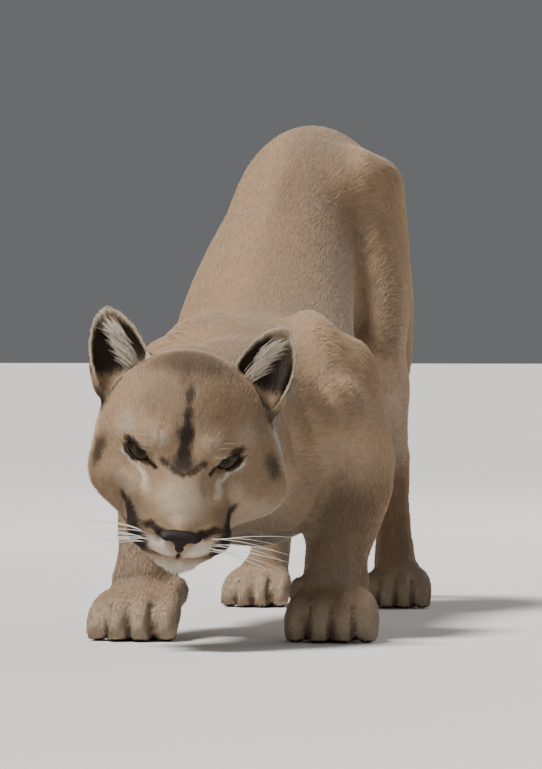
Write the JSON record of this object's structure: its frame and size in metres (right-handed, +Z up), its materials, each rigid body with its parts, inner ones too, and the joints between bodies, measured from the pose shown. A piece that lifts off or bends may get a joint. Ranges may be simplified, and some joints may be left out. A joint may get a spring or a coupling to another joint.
{
  "type": "cougar model",
  "caption": "Life-size still model of an adult cougar in a low stalk: head down, forelegs bent, hindquarters high, long tail hanging behind and curving up at the tip.",
  "frame": {"origin": "bottom centre of the whole animal's bounding box, on the floor its soles rest on", "axes": "+Z up; the animal faces -Y, its left side is +X and its tail reaches back along +Y"},
  "size_m": [0.2952, 1.4964, 0.5352],
  "materials": {
    "coat": "short tawny fur",
    "pale_coat": "short pale fur",
    "dark_coat": "short dark brown fur",
    "nose_leather": "moist skin",
    "eye": "clear wet eye over an amber iris"
  },
  "bodies": {
    "root": {"head": "coat", "lower_jaw": "pale_coat", "nose": "nose_leather", "ear_left": "dark_coat", "ear_right": "dark_coat", "eye_left": "eye", "eye_right": "eye", "neck": "coat", "chest": "coat", "loins": "coat", "rump": "coat", "tail_root": "coat", "tail_upper": "coat", "tail_lower": "coat", "tail_tip": "dark_coat", "foreleg_left_shoulder": "coat", "foreleg_left_forearm": "coat", "foreleg_left_paw": "coat", "hindleg_left_thigh": "coat", "hindleg_left_shank": "coat", "hindleg_left_foot": "coat", "hindleg_left_paw": "coat", "foreleg_right_shoulder": "coat", "foreleg_right_forearm": "coat", "foreleg_right_paw": "coat", "hindleg_right_thigh": "coat", "hindleg_right_shank": "coat", "hindleg_right_foot": "coat", "hindleg_right_paw": "coat"}
  },
  "joints": []
}
